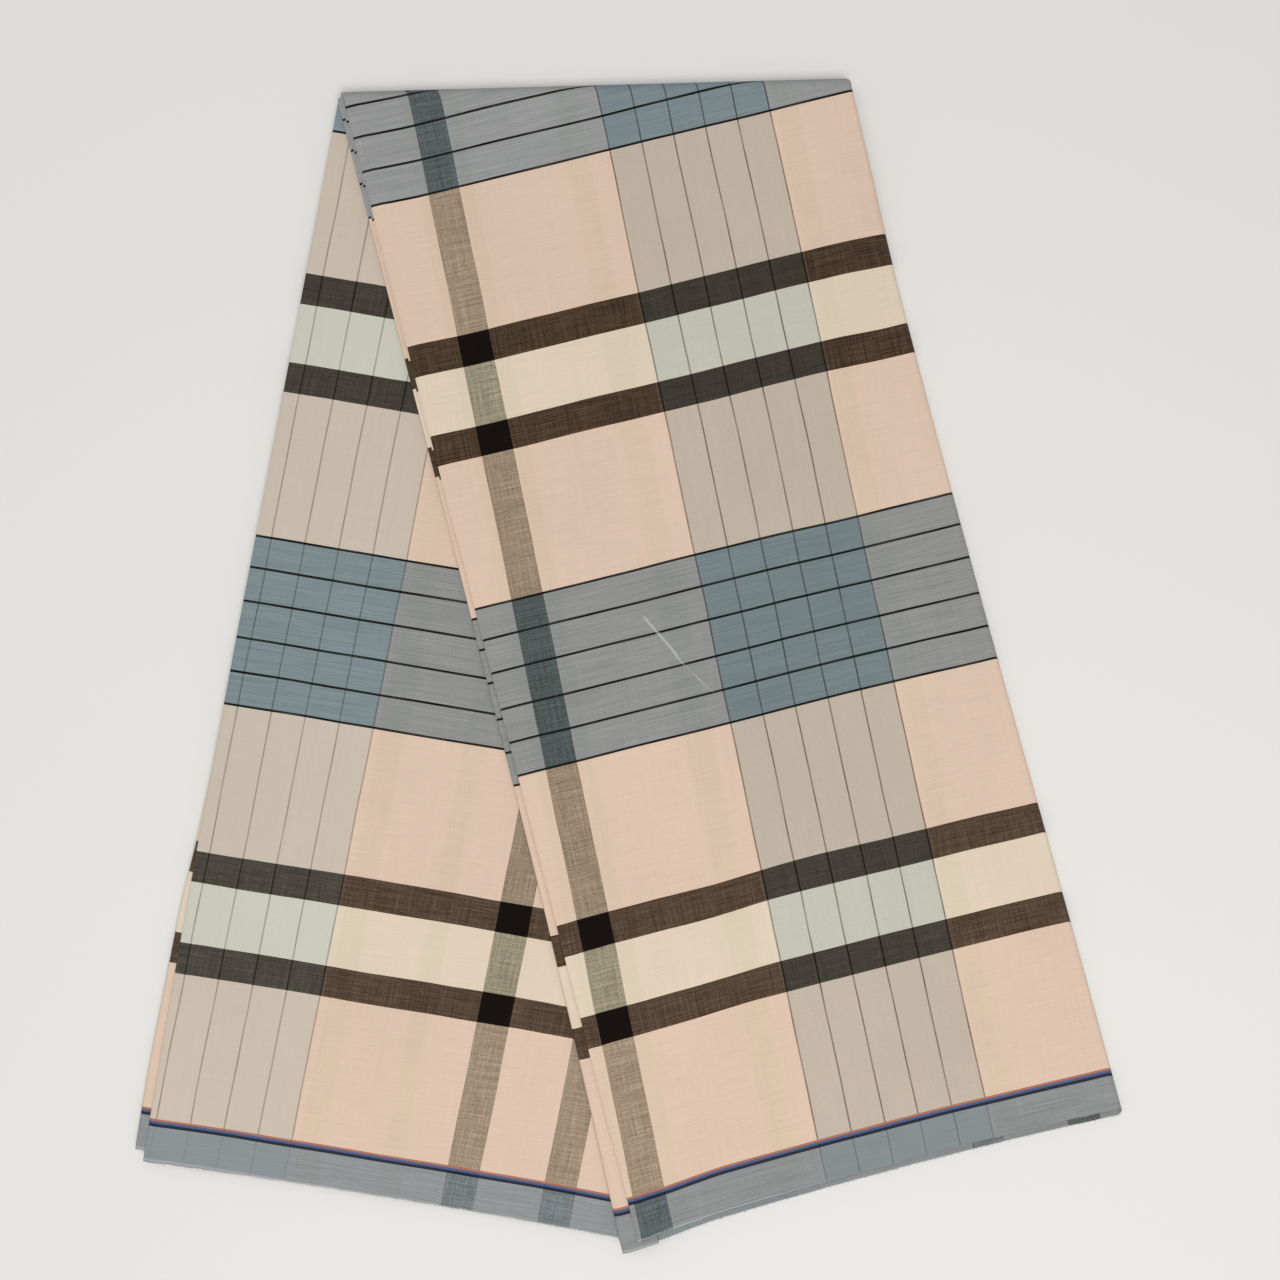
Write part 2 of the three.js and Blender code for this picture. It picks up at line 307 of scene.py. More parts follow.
UNDER_CREASES = (
    Crease((60, 170), (150, 60), 14, 0.40),
    Crease((110, 20), (210, -60), 12, -0.35),
    Crease((90, -150), (220, -130), 12, 0.40),
    Crease((-100, 240), (40, 190), 12, -0.30),
    Crease((-180, 60), (20, 30), 14, 0.30),
    Crease((-200, -120), (-20, -90), 12, -0.35),
    Crease((-190, -220), (-50, -190), 10, 0.30),
)


def unevenness(point: Vector, seed: float) -> float:
    """Returns slow waves of the resting cloth, between about -1 and 1.

    Args:
        point: a place in the plan, in millimetres.
        seed: picks one of many like surfaces.

    Returns:
        Their height.
    """
    broad = noise.noise(Vector((point.x / 95, point.y / 130, seed)))
    fine = noise.noise(Vector((point.x / 34, point.y / 41, seed + 7)))
    return broad + 0.35 * fine


@dataclass(frozen=True)
class Strip:
    """One half of the doubled strip, seen from above, in millimetres.

    Its corners at the fold lie on the top fold's axis.
    """

    fold_left: Vector
    fold_right: Vector
    hem_left: Vector
    hem_right: Vector
    over: bool
    left_bow: float
    right_bow: float
    hem_bow: float

    @staticmethod
    def _square(start: Vector, end: Vector) -> Vector:
        """Returns the unit vector to the left of the line from start to end."""
        run = (end - start).normalized()
        return Vector((-run.y, run.x))

    def edges(self, along: float) -> tuple[Vector, Vector]:
        """Returns the left and right ends of the row at a share of the length.

        Args:
            along: share of the length, from the fold to the hem.

        Returns:
            Two places in the plan.
        """
        left = self.fold_left.lerp(self.hem_left, along)
        left += self._square(self.hem_left, self.fold_left) * self.left_bow * late_bow(along)
        right = self.fold_right.lerp(self.hem_right, along)
        right += self._square(self.hem_right, self.fold_right) * self.right_bow * early_bow(along)
        return left, right

    def plan(self, across: float, along: float, aside: float = 0, beyond: float = 0) -> Vector:
        """Returns a place in the plan.

        Args:
            across: share of the width, from the left edge to the right one.
            along: share of the length, from the fold to the hem.
            aside: millimetres further to the right.
            beyond: millimetres further along the strip.

        Returns:
            The place, in millimetres.
        """
        left, right = self.edges(along)
        span = right - left
        aim = span.normalized()
        down = Vector((aim.y, -aim.x))
        bow = self.hem_bow * mid_bow(min(1.0, max(0.0, across))) * along**3
        return left + span * across + aim * aside + down * (beyond - bow)

    def opened(self, across: float, along: float, aside: float) -> Vector:
        """Returns where a ply's point would lie with the ply opened out at the right edge.

        Args:
            across: share of the width, and from 1 to 2 for a ply that has turned back there.
            along: share of the length.
            aside: millimetres further out from the left edge.

        Returns:
            The place in the plan, in millimetres.
        """
        if across <= 1:
            return self.plan(across, along, aside)
        point = self.plan(2 - across, along, -aside)
        run = (self.hem_right - self.fold_right).normalized()
        beside = Vector((-run.y, run.x))
        return point + beside * 2 * (self.edges(along)[1] - point).dot(beside)


@dataclass(frozen=True)
class Laying:
    """How the doubled strip lies: the outline corners as seen from above, in millimetres."""

    fold_outline_left: tuple[float, float] = (-149.4, 301.6)
    fold_outline_right: tuple[float, float] = (117.5, 308.8)
    upper_hem_left: tuple[float, float] = (5.3, -303.0)
    upper_hem_right: tuple[float, float] = (261.2, -234.5)
    lower_hem_left: tuple[float, float] = (-256.4, -262.7)
    lower_hem_right: tuple[float, float] = (-2.1, -303.6)
    lower_shift: float = 4.2
    drop_start: float = 8.0
    drop_run: float = 40.0

    def fold_across(self) -> Vector:
        """Returns the unit vector along the top fold, to the right."""
        run = Vector(self.fold_outline_right) - Vector(self.fold_outline_left)
        return run.normalized()

    def fold_outward(self) -> Vector:
        """Returns the unit vector out of the top fold, in the plan."""
        across = self.fold_across()
        return Vector((-across.y, across.x))

    def axis(self) -> tuple[Vector, Vector]:
        """Returns the left and right ends of the top fold's axis."""
        inset = self.fold_outward() * -AXIS_HEIGHT
        return Vector(self.fold_outline_left) + inset, Vector(self.fold_outline_right) + inset

    def upper(self) -> Strip:
        """Returns the strip that lies on top.

        Returns:
            The strip's outline.
        """
        left, right = self.axis()
        hem = Vector(self.upper_hem_left), Vector(self.upper_hem_right)
        return Strip(left, right, *hem, over=True, left_bow=0, right_bow=2.4, hem_bow=2.9)

    def lower(self) -> Strip:
        """Returns the strip that rests on the surface.

        Returns:
            The strip's outline.
        """
        left, right = self.axis()
        left = left - self.fold_across() * self.lower_shift
        hem = Vector(self.lower_hem_left), Vector(self.lower_hem_right)
        return Strip(left, right, *hem, over=False, left_bow=1.8, right_bow=0, hem_bow=1.8)

    def drop(self, point: Vector) -> float:
        """Returns how far the upper strip has come down beside the lower one.

        Args:
            point: a place in the plan.

        Returns:
            The distance, in millimetres.
        """
        _, right = self.axis()
        run = (Vector(self.lower_hem_right) - right).normalized()
        beside = (point - right).dot(Vector((-run.y, run.x)))
        return (STRIP + GAP) * smooth(beside, self.drop_start, self.drop_start + self.drop_run)

    def over_fold(self, above: Vector, below: Vector, radius: float, turned: float) -> Vector:
        """Returns a place on the turn of the top fold.

        Args:
            above: where the row starts, in the plan of the upper strip.
            below: where it ends, in the plan of the lower one.
            radius: the ply's distance from the axis.
            turned: share of the turn.

        Returns:
            The place, in millimetres.
        """
        angle = math.pi * turned
        point = above.lerp(below, turned) + self.fold_outward() * radius * math.sin(angle)
        return Vector((point.x, point.y, AXIS_HEIGHT + radius * math.cos(angle)))

    def height(self, strip: Strip, point: Vector, radius: float) -> float:
        """Returns the height of a ply over a point of the plan.

        Args:
            strip: the ply's strip.
            point: a place in the plan.
            radius: the ply's distance from the fold's axis.

        Returns:
            The height, in millimetres.
        """
        if strip.over:
            return AXIS_HEIGHT + radius - self.drop(point)
        return AXIS_HEIGHT - radius


LAY = Laying()
UPPER = LAY.upper()
LOWER = LAY.lower()


def upper_cloth(point: Vector, across: float, along: float) -> Vector:
    """Returns the cloth coordinates of the upper strip's top ply, in millimetres.

    Args:
        point: the place in the plan.
        across: share of the strip's width, over 1 for a ply that has turned under.
        along: share of its length.

    Returns:
        u and v, in millimetres.
    """
    turn_v, turn_u = math.radians(13.8), math.radians(11.9)
    middle_u, middle_v = lerp(89.3, 91.9, along), 291.1
    widened = lerp(1.025, 0.979, along)
    left_sag, left_lift, hem_sag = 3.8, 1.2, 2.6
    v = middle_v - math.sin(turn_v) * point.x + math.cos(turn_v) * point.y
    u = math.cos(turn_u) * point.x + math.sin(turn_u) * point.y
    u = (u - middle_u) * widened
    shown = min(1.0, max(0.0, across))
    v += left_sag * (1 - shown) * smooth(along, 0.55, 0.88)
    v -= left_lift * (1 - smooth(shown, 0.0, 0.12)) * (1 - smooth(along, 0.12, 0.4))
    v -= hem_sag * mid_bow(shown) * along**3
    return Vector((u, v))


def lower_cloth(point: Vector, across: float, along: float) -> Vector:
    """Returns the cloth coordinates of the lower strip's ply that faces up.

    Args:
        point: the place in the plan.
        across: share of the strip's width, over 1 for a ply that has turned under.
        along: share of its length.

    Returns:
        u and v, in millimetres.
    """
    turn, middle_u, middle_v = math.radians(9.5), 170.7, 303.75
    hem_lift, hem_sag = 4.4, 1.5
    v = middle_v + math.sin(turn) * point.x + math.cos(turn) * point.y * 0.9972
    u = (0.981 * point.x - 0.194 * point.y + middle_u) * 0.985
    shown = min(1.0, max(0.0, across))
    v -= hem_lift * max(0.0, (along - 0.8) / 0.2) ** 2
    v -= hem_sag * mid_bow(shown) * along**3
    return Vector((STRIPE_REPEAT - u, CLOTH_WIDTH - v))


class Station(NamedTuple):
    """A point of a ply's section across the strip.

    across and aside place it, and radius is its distance from the top fold's axis. opened and
    opened_mm say where it would lie with the ply opened out flat: a share of the strip's width
    from its left edge, and millimetres more.
    """

    across: float
    aside: float
    radius: float
    opened: float
    opened_mm: float


def wrapping_section(columns: int, under_columns: int, turn_steps: int = 8) -> list[Station]:
    """Returns the section of the outer ply.

    It runs from its left edge over the hidden plies, turns round their right edge in a clean fold
    and comes back under them. Its left edges curl in a little.

    Args:
        columns: facets across the side away from the axis.
        under_columns: facets across the side next to it.
        turn_steps: facets round the fold.

    Returns:
        The section's points in order.
    """
    size = STRIP / 2
    middle = INNERMOST + size
    first, last = 0.04, 0.985
    curl = ((0.0, 0.45), (0.7, 0.14), (1.8, 0.0), (3.4, 0.05), (6.5, 0.0))
    out = [Station(0, aside, OUTERMOST - dip, 0, aside) for aside, dip in curl]
    out += [
        Station(s, 0, OUTERMOST, s, 0)
        for s in (lerp(first, last, i / columns) for i in range(columns + 1))
    ]
    for i in range(turn_steps + 1):
        turned = math.pi * i / turn_steps
        aside = size * math.sin(turned) - size
        radius = middle + size * math.cos(turned)
        out.append(Station(1, aside, radius, 1, size * turned - size))
    back = math.pi * size - 2 * size
    out += [
        Station(s, 0, INNERMOST, 2 - s, back)
        for s in (lerp(last, first, i / under_columns) for i in range(under_columns + 1))
    ]
    out += [
        Station(0, aside, INNERMOST + dip, 2, back - aside) for aside, dip in reversed(curl)
    ]
    return out


def edge_section(reach: float, low: float, high: float, up: int, opened: float) -> list[Station]:
    """Returns the section of a folded edge ply: down one side, round its nose and back.

    Args:
        reach: how far its nose shows past the strip's left edge, in millimetres.
        low: its lower distance from the top fold's axis.
        high: its higher one.
        up: 1 where the side away from the axis faces up, -1 where the other one does.
        opened: where its nose lies on the opened cloth, in millimetres from the strip's edge.

    Returns:
        The section's points in order.
    """
    inset, thick, middle = 10.0, high - low, (high + low) / 2
    dome = (
        (0.0, 0.0),
        (0.04, 0.42),
        (0.12, 0.68),
        (0.26, 0.9),
        (0.45, 1.0),
        (0.66, 0.86),
        (0.86, 0.56),
    )
    shown = reach + 1.6
    near = [(share * shown - reach, rise) for share, rise in dome] + [(inset, 0.5)]
    flat = [(aside, -min(1.0, 1.4 * rise)) for aside, rise in near[1:]]
    chain = list(reversed(near)) + flat
    out, travelled, last = [], 0.0, None
    for aside, rise in chain:
        radius = middle + up * rise * thick / 2
        if last:
            travelled += math.dist(last, (aside, radius))
        last = (aside, radius)
        out.append(Station(0, aside, radius, 0, opened + travelled))
    return out


def pleated_section(layers: int, columns: int) -> list[Station]:
    """Returns the section of the hidden plies: one cloth folded to and fro.

    Args:
        layers: how many times it crosses the strip.
        columns: facets across each layer.

    Returns:
        The section's points in order.
    """
    pitch = HIDDEN / layers
    left, right = 10.6, -(STRIP / 2)
    out, travelled = [], 0.0
    for layer in range(layers):
        radius = HIDDEN_HIGH - pitch * (layer + 0.5)
        forth = layer % 2 == 0
        for i in range(columns + 1):
            share = i / columns if forth else 1 - i / columns
            aside = lerp(left, right, share)
            out.append(Station(share, aside, radius, layer + i / columns, travelled))
        if layer < layers - 1:
            side = 1 if forth else 0
            bulge = pitch / 2 if forth else -pitch / 2
            aside = (right if forth else left) + bulge
            out.append(Station(side, aside, radius - pitch / 2, layer + 1, travelled + pitch / 2))
            travelled += pitch
    return out


class EdgeRow(NamedTuple):
    """How two folded edge plies show at a share of a strip's length, in millimetres.

    inner and outer are how far the ply next to the top fold's axis and the one outside it reach
    past the strip's left edge, and thick is the inner one's thickness.
    """

    along: float
    inner: float
    outer: float
    thick: float


UPPER_EDGE = (
    EdgeRow(0.0, 3.4, 1.6, 1.4),
    EdgeRow(0.35, 3.2, 0.9, 1.4),
    EdgeRow(0.5, 3.6, -0.6, 1.4),
    EdgeRow(0.72, 4.5, -0.6, 2.0),
    EdgeRow(0.9, 7.4, -0.6, HIDDEN),
    EdgeRow(1.0, 9.6, -0.6, HIDDEN),
)
LOWER_EDGE = (
    EdgeRow(0.0, -0.8, -1.4, 1.4),
    EdgeRow(0.55, -0.5, -1.2, 1.4),
    EdgeRow(0.7, 1.5, 0.2, 1.4),
    EdgeRow(0.77, 3.8, 0.8, 1.4),
    EdgeRow(0.92, 5.5, 1.4, 1.4),
    EdgeRow(1.0, 5.5, 1.8, 1.4),
)


def edge_row(table: Sequence[EdgeRow], along: float) -> EdgeRow:
    """Returns the edge plies' sizes at a share of the length, straight between a table's rows.

    Args:
        table: the sizes by share of the length.
        along: the share.

    Returns:
        The sizes there.
    """
    after = next(i for i, row in enumerate(table) if row.along >= along or row is table[-1])
    start, end = table[max(0, after - 1)], table[max(1, after)]
    share = (along - start.along) / (end.along - start.along)
    return EdgeRow(*(lerp(a, b, share) for a, b in zip(start, end)))


def finished_object(name: str, bm: bmesh.types.BMesh) -> bpy.types.Object:
    """Turns a bmesh into an object of the scene, and frees it.

    Args:
        name: the object's name.
        bm: its shape, in metres.

    Returns:
        The new object.
    """
    mesh = bpy.data.meshes.new(name)
    bm.to_mesh(mesh)
    bm.free()
    made = bpy.data.objects.new(name, mesh)
    bpy.context.scene.collection.objects.link(made)
    return made


def lay_sheet(
    name: str,
    rows: int,
    columns: int,
    place: Callable[[int, int], Vector],
    cloth: Callable[[int, int], Vector],
    thickness: float = SHELL,
) -> bpy.types.Object:
    """Makes one stretch of the cloth from a grid.

    Args:
        name: the piece's name.
        rows: points along the strip.
        columns: points across it.
        place: gives a point's place in millimetres from its row and column.
        cloth: gives its cloth coordinates in millimetres.
        thickness: the cloth's thickness in millimetres, inwards from the placed surface.

    Returns:
        The new object.
    """
    bm = bmesh.new()
    bmesh.ops.create_grid(bm, x_segments=columns - 1, y_segments=rows - 1, size=0.5)
    layer = bm.loops.layers.uv.new(UV_MAP)
    index = {
        v: (round((v.co.y + 0.5) * (rows - 1)), round((v.co.x + 0.5) * (columns - 1)))
        for v in bm.verts
    }
    flat = {v: cloth(*where) * MM for v, where in index.items()}
    for v, where in index.items():
        v.co = place(*where) * MM
    for face in bm.faces:
        face.smooth = True
        for loop in face.loops:
            loop[layer].uv = flat[loop.vert]
    for edge in bm.edges:
        edge.smooth = not edge.is_boundary
    bm.normal_update()
    centre = sum((v.co for v in bm.verts), Vector()) / len(bm.verts)
    outward = sum(
        face.calc_area() * face.normal.dot(face.calc_center_median() - centre)
        for face in bm.faces
    )
    if outward < 0:
        bmesh.ops.reverse_faces(bm, faces=bm.faces)
    piece = finished_object(name, bm)
    wall = piece.modifiers.new("wall", "SOLIDIFY")
    wall.thickness = thickness * MM
    wall.offset = -1
    wall.use_even_offset = True
    return piece


Value = Union[float, bpy.types.NodeSocket]


def add_node(
    tree: bpy.types.NodeTree,
    kind: str,
    links: dict,
    output: Union[int, str] = 0,
    **settings: object,
) -> Value:
    """Adds a node with its settings and links.

    Args:
        tree: the material's node tree.
        kind: the node's type.
        links: a value or an output socket for each input, by name or number.
        output: the output that is wanted, by name or number.
        settings: the node's own attributes.

    Returns:
        The wanted output, or None for a node without outputs.
    """
    node = tree.nodes.new(kind)
    for key, value in settings.items():
        setattr(node, key, value)
    for key, value in links.items():
        if isinstance(value, bpy.types.NodeSocket):
            tree.links.new(value, node.inputs[key])
        else:
            node.inputs[key].default_value = value
    return node.outputs[output] if node.outputs else None


MATH = "ShaderNodeMath"
MIX = "ShaderNodeMix"
RAMP = "ShaderNodeMapRange"
Add = Callable[..., Value]


class Grain(NamedTuple):
    """A noise pattern: its grains' size in u and in v, in millimetres, and its seed."""

    u: float
    v: float
    seed: float


THREAD = 0.8  # a thread as drawn, about three times as far from the next as real ones are
WARP_SLUBS = Grain(24.0, THREAD, 3.0)
WEFT_SLUBS = Grain(THREAD, 24.0, 11.0)
FLECKS = Grain(THREAD * 2.2, THREAD * 1.6, 17.0)
DYE_CLOUDS = Grain(55.0, 70.0, 23.0)
PUCKERS = Grain(38.0, 17.0, 29.0)
DYE_BARS = Grain(2.4, 90.0, 31.0)
STREAKS = Grain(46.0, 0.9, 41.0)


@dataclass(frozen=True)
class Threads:
    """What every part of the cotton's node tree reads, as sockets."""

    add: Add
    u: Value
    v: Value
    side: Value
    stripe: Value
    second: Value
    border: Value
    blue: Value
    warp_slubs: Value
    weft_slubs: Value
    flecks: Value


@dataclass(frozen=True)
class CheckedCotton:
    """Plain-woven, yarn-dyed cotton, starched and pressed: a matt cloth with a faint sheen.

    The real threads are about 0.25 mm apart, too fine for the render, so thread and slub
    patterns are drawn about three times as coarse.
    """

    name: str = "plain_woven_checked_cotton"
    eye_gamma: float = 2.2
    far_border_share: float = 0.14
    warp_slub_depth: float = 0.30
    weft_slub_depth: float = 0.24
    fleck_depth: float = 0.14
    tone_depths: tuple[float, float, float, float] = (0.16, 0.10, 0.10, 0.07)
    streak_depth: float = 0.55
    line_changes: tuple[float, float, float] = (-0.5, -0.3, 0.5)
    roughness: float = 0.78
    specular: float = 0.10
    sheen: float = 0.06

    def build(self) -> bpy.types.Material:
        """Returns the material.

        Returns:
            The material.
        """
        material = bpy.data.materials.new(self.name)
        material.use_nodes = True
        material.node_tree.nodes.clear()
        add = partial(add_node, material.node_tree)
        threads = self._threads(add)
        colour = self._woven(threads)
        colour = self._toned(threads, colour)
        colour = self._striped(threads, colour)
        colour = self._lined(threads, colour)
        press = self._press_height(threads)
        # Paler selvedge edges, and a painted highlight along the sharpest creases.
        colour = self._paled_and_highlighted(threads, colour, press)
        shader = add(
            "ShaderNodeBsdfPrincipled",
            {
                "Base Color": colour,
                "Roughness": self.roughness,
                "Specular IOR Level": self.specular,
                "Sheen Weight": self.sheen,
                "Sheen Roughness": 0.45,
                "Normal": self._relief(threads, press),
            },
        )
        add("ShaderNodeOutputMaterial", {"Surface": shader})
        return material

    def _threads(self, add: Add) -> Threads:
        """Returns cloth coordinates in millimetres, with a slight waver, and thread patterns.

        Args:
            add: adds a node to the material.

        Returns:
            The sockets that every part reads.
        """
        uv = add("ShaderNodeUVMap", {}, uv_map=UV_MAP)
        size = {0: uv, 1: (1 / MM, 1 / MM, 0), 2: (-0.8, -0.8, 0)}
        flat = add("ShaderNodeVectorMath", size, operation="MULTIPLY_ADD")
        grain = {"Vector": uv, "Scale": 1 / (70 * MM), "Detail": 1.0}
        waver = add("ShaderNodeTexNoise", grain, "Color")
        wavered = {0: waver, 1: (1.6, 1.6, 0), 2: flat}
        place = add("ShaderNodeVectorMath", wavered, operation="MULTIPLY_ADD")
        u = add("ShaderNodeSeparateXYZ", {0: place}, "X")
        v = add("ShaderNodeSeparateXYZ", {0: place}, "Y")
        half = CLOTH_WIDTH / 2
        side = add(MATH, {0: v, 1: half}, operation="PINGPONG")
        stripe = add(MATH, {0: u, 1: STRIPE_REPEAT / 2}, operation="PINGPONG")
        second = {0: u, 1: STRIPE_REPEAT, 2: STRIPE_REPEAT / 2}
        blues = [Yarn.BLUE_GREY, Yarn.PALE_BLUE_GREY, Yarn.BORDER_GREY]
        return Threads(
            add=add,
            u=u,
            v=v,
            side=side,
            stripe=stripe,
            second=add(MATH, second, operation="COMPARE"),
            border=self._within(add, side, [Yarn.BORDER_GREY]),
            blue=self._within(add, side, blues),
            warp_slubs=self._grain(add, place, WARP_SLUBS),
            weft_slubs=self._grain(add, place, WEFT_SLUBS),
            flecks=self._grain(add, place, FLECKS),
        )

    def _within(self, add: Add, side: Value, yarns: Sequence[Yarn]) -> Value:
        """Returns 1 in the warp bands of some yarns, and 0 elsewhere.

        Args:
            add: adds a node to the material.
            side: distance from the nearer selvedge, in millimetres.
            yarns: the yarns of the bands.

        Returns:
            The value's socket.
        """
        total = 0.0
        for band in WARP_BANDS:
            if band.yarn in yarns:
                here = add(MATH, band.window(side), operation="COMPARE")
                total = add(MATH, {0: here, 1: total}, operation="ADD")
        return total

    def _grain(self, add: Add, place: Value, grain: Grain) -> Value:
        """Returns a noise from 0 to 1.

        Args:
            add: adds a node to the material.
            place: cloth coordinates in millimetres.
            grain: the pattern.

        Returns:
            The noise's socket.
        """
        scaled = {0: place, 1: (1 / grain.u, 1 / grain.v, 0), 2: (0, 0, grain.seed)}
        spot = add("ShaderNodeVectorMath", scaled, operation="MULTIPLY_ADD")
        settings = {"Vector": spot, "Scale": 1.0, "Detail": 1.5, "Roughness": 0.6}
        return add("ShaderNodeTexNoise", settings)

    def _summed(self, add: Add, total: Value, terms: Iterable[tuple[Value, Value]]) -> Value:
        """Returns a value with each pattern times its depth added.

        Args:
            add: adds a node to the material.
            total: the value to start from.
            terms: the patterns, each with its depth.

        Returns:
            The sum's socket.
        """
        for pattern, depth in terms:
            links = {0: pattern, 1: depth, 2: total}
            total = add(MATH, links, operation="MULTIPLY_ADD")
        return total

    def _eased(self, add: Add, place: Value, start: float, end: float, soft: float) -> Value:
        """Returns 1 between two distances, eased to 0 at both of them.

        Args:
            add: adds a node to the material.
            place: the distance to look at, in millimetres.
            start: the nearer distance.
            end: the further one.
            soft: how long the easing is.

        Returns:
            The value's socket.
        """
        half = (end - start) / 2
        off = add(MATH, {0: place, 1: start + half}, operation="SUBTRACT")
        fall = {
            "Value": add(MATH, {0: off}, operation="ABSOLUTE"),
            "From Min": half - soft,
            "From Max": half,
            "To Min": 1.0,
            "To Max": 0.0,
        }
        return add(RAMP, fall, interpolation_type="SMOOTHSTEP")

    def _banded(
        self, add: Add, place: Value, bands: Sequence[Band], slubs: Value
    ) -> tuple[Value, Value]:
        """Returns yarn colours by place, with slightly ragged edges, and the weft's share.

        Args:
            add: adds a node to the material.
            place: the distance that the bands are given by, in millimetres.
            bands: the bands, with peach between them.
            slubs: the noise that makes their edges ragged.

        Returns:
            The colour's socket and the share's.
        """
        edge = add(MATH, {0: slubs, 1: 0.5, 2: place}, operation="MULTIPLY_ADD")
        edge = add(MATH, {0: edge, 1: 0.25}, operation="SUBTRACT")
        colour, share = linear(Yarn.PEACH.value), WEFT_SHARE
        for band in bands:
            here = add(MATH, band.window(edge), operation="COMPARE")
            if band.yarn is not Yarn.PEACH:
                links = {0: here, 6: colour, 7: linear(band.yarn.value)}
                colour = add(MIX, links, 2, data_type="RGBA")
            if band.weft_share != WEFT_SHARE:
                links = {0: here, 1: band.weft_share - WEFT_SHARE, 2: share}
                share = add(MATH, links, operation="MULTIPLY_ADD")
        return colour, share

    def _woven(self, threads: Threads) -> Value:
        """Returns the colour that warp and weft give together.

        Thin places let the other yarn show, so the slubs change its share, which shows most
        where a dark yarn crosses a pale one. The eye mixes them about as encoded values do. The
        borders are closer set, so that less of the weft shows there, least of all in the far one.

        Args:
            threads: the sockets that every part reads.

        Returns:
            The colour's socket.
        """
        add = threads.add
        slubs = (
            (threads.warp_slubs, self.warp_slub_depth),
            (threads.weft_slubs, self.weft_slub_depth),
            (threads.flecks, self.fleck_depth),
        )
        olive = add(MATH, WEFT_STRIPES[1].window(threads.stripe), operation="COMPARE")
        lively = self._summed(add, 0.5, [(threads.blue, 1.1)])
        calm = self._summed(add, 1.0, [(threads.blue, -0.65), (olive, lively)])
        uneven = self._summed(add, -sum(depth for _, depth in slubs) / 2, slubs)
        warp, share = self._banded(add, threads.side, WARP_BANDS, threads.warp_slubs)
        weft, _ = self._banded(add, threads.stripe, WEFT_STRIPES, threads.weft_slubs)
        far = {0: threads.v, 1: CLOTH_WIDTH / 2}
        far = add(MATH, far, operation="GREATER_THAN")
        far = add(MATH, {0: far, 1: threads.second}, operation="MAXIMUM")
        far = add(MATH, {0: far, 1: threads.border}, operation="MULTIPLY")
        closer = self.far_border_share - BORDER.weft_share
        share = self._summed(add, share, [(far, closer), (uneven, calm)])
        links = {0: far, 6: warp, 7: linear(Yarn.PALE_BORDER_GREY.value)}
        warp = add(MIX, links, 2, data_type="RGBA")
        paler = add(MATH, WEFT_STRIPES[0].window(threads.stripe), operation="COMPARE")
        paler = add(MATH, {0: paler, 1: threads.second}, operation="MULTIPLY")
        links = {0: paler, 6: weft, 7: linear(Yarn.PALE_SAGE.value)}
        weft = add(MIX, links, 2, data_type="RGBA")
        warp = add("ShaderNodeGamma", {0: warp, 1: 1 / self.eye_gamma})
        weft = add("ShaderNodeGamma", {0: weft, 1: 1 / self.eye_gamma})
        both = add(MIX, {0: share, 6: warp, 7: weft}, 2, data_type="RGBA")
        return add("ShaderNodeGamma", {0: both, 1: self.eye_gamma})

    def _toned(self, threads: Threads, colour: Value) -> Value:
        """Returns the colour with uneven dye and with what shows through from beneath.

        Args:
            threads: the sockets that every part reads.
            colour: the colour so far.

        Returns:
            The new colour's socket.
        """
        add = threads.add
        place = add("ShaderNodeCombineXYZ", {0: threads.u, 1: threads.v})
        clouds = self._grain(add, place, DYE_CLOUDS)
        bars = self._grain(add, place, DYE_BARS)
        patterns = (threads.warp_slubs, threads.weft_slubs, clouds, bars)
        streaks = self._grain(add, place, STREAKS)
        streaks = add(MATH, {0: streaks, 1: 0.5}, operation="SUBTRACT")
        deeper = add(MATH, {0: threads.blue, 1: self.streak_depth}, operation="MULTIPLY")
        terms = [*zip(patterns, self.tone_depths), (streaks, deeper)]
        factor = self._summed(add, 1 - sum(self.tone_depths) / 2, terms)
        links = {0: colour, "Scale": factor}
        colour = add("ShaderNodeVectorMath", links, operation="SCALE")
        for start, end in SHOWN_THROUGH:
            here = self._eased(add, threads.u, start, end, 3.0)
            links = {0: here, 6: colour, 7: linear(Tint.SHOWN_THROUGH.value)}
            colour = add(MIX, links, 2, data_type="RGBA", blend_type="MULTIPLY")
        return colour

    def _striped(self, threads: Threads, colour: Value) -> Value:
        """Returns the colour with the beige stripe's tints and its dark threads.

        Its threads are faint over the close-set border and in the second stripe, and black over
        brown.

        Args:
            threads: the sockets that every part reads.
            colour: the colour so far.

        Returns:
            The new colour's socket.
        """
        add = threads.add
        peak = STRIPE_LINE_SPACING / 2
        cell = add(MATH, {0: threads.stripe, 1: peak}, operation="PINGPONG")
        near = {0: cell, 1: peak, 2: STRIPE_LINE_WIDTH / 2}
        line = add(MATH, near, operation="COMPARE")
        inside = add(MATH, {0: threads.stripe, 1: STRIPE_LINE_REACH}, operation="LESS_THAN")
        for yarn, tint, share in STRIPE_TINTS:
            over = self._within(add, threads.side, [yarn])
            over = add(MATH, {0: inside, 1: over}, operation="MULTIPLY")
            over = add(MATH, {0: over, 1: share}, operation="MULTIPLY")
            links = {0: over, 6: colour, 7: linear(tint.value)}
            colour = add(MIX, links, 2, data_type="RGBA")
        line = add(MATH, {0: line, 1: inside}, operation="MULTIPLY")
        strength = self._summed(add, 0.2, [(threads.weft_slubs, 0.9)])
        strength = add(MATH, {0: line, 1: strength}, operation="MULTIPLY")
        brown = self._within(add, threads.side, [Yarn.BROWN])
        places = (threads.border, threads.second, brown)
        kept = self._summed(add, 1.0, zip(places, self.line_changes))
        strength = add(MATH, {0: strength, 1: kept}, operation="MULTIPLY")
        links = {0: strength, 6: colour, 7: linear(Tint.DARK_THREAD.value)}
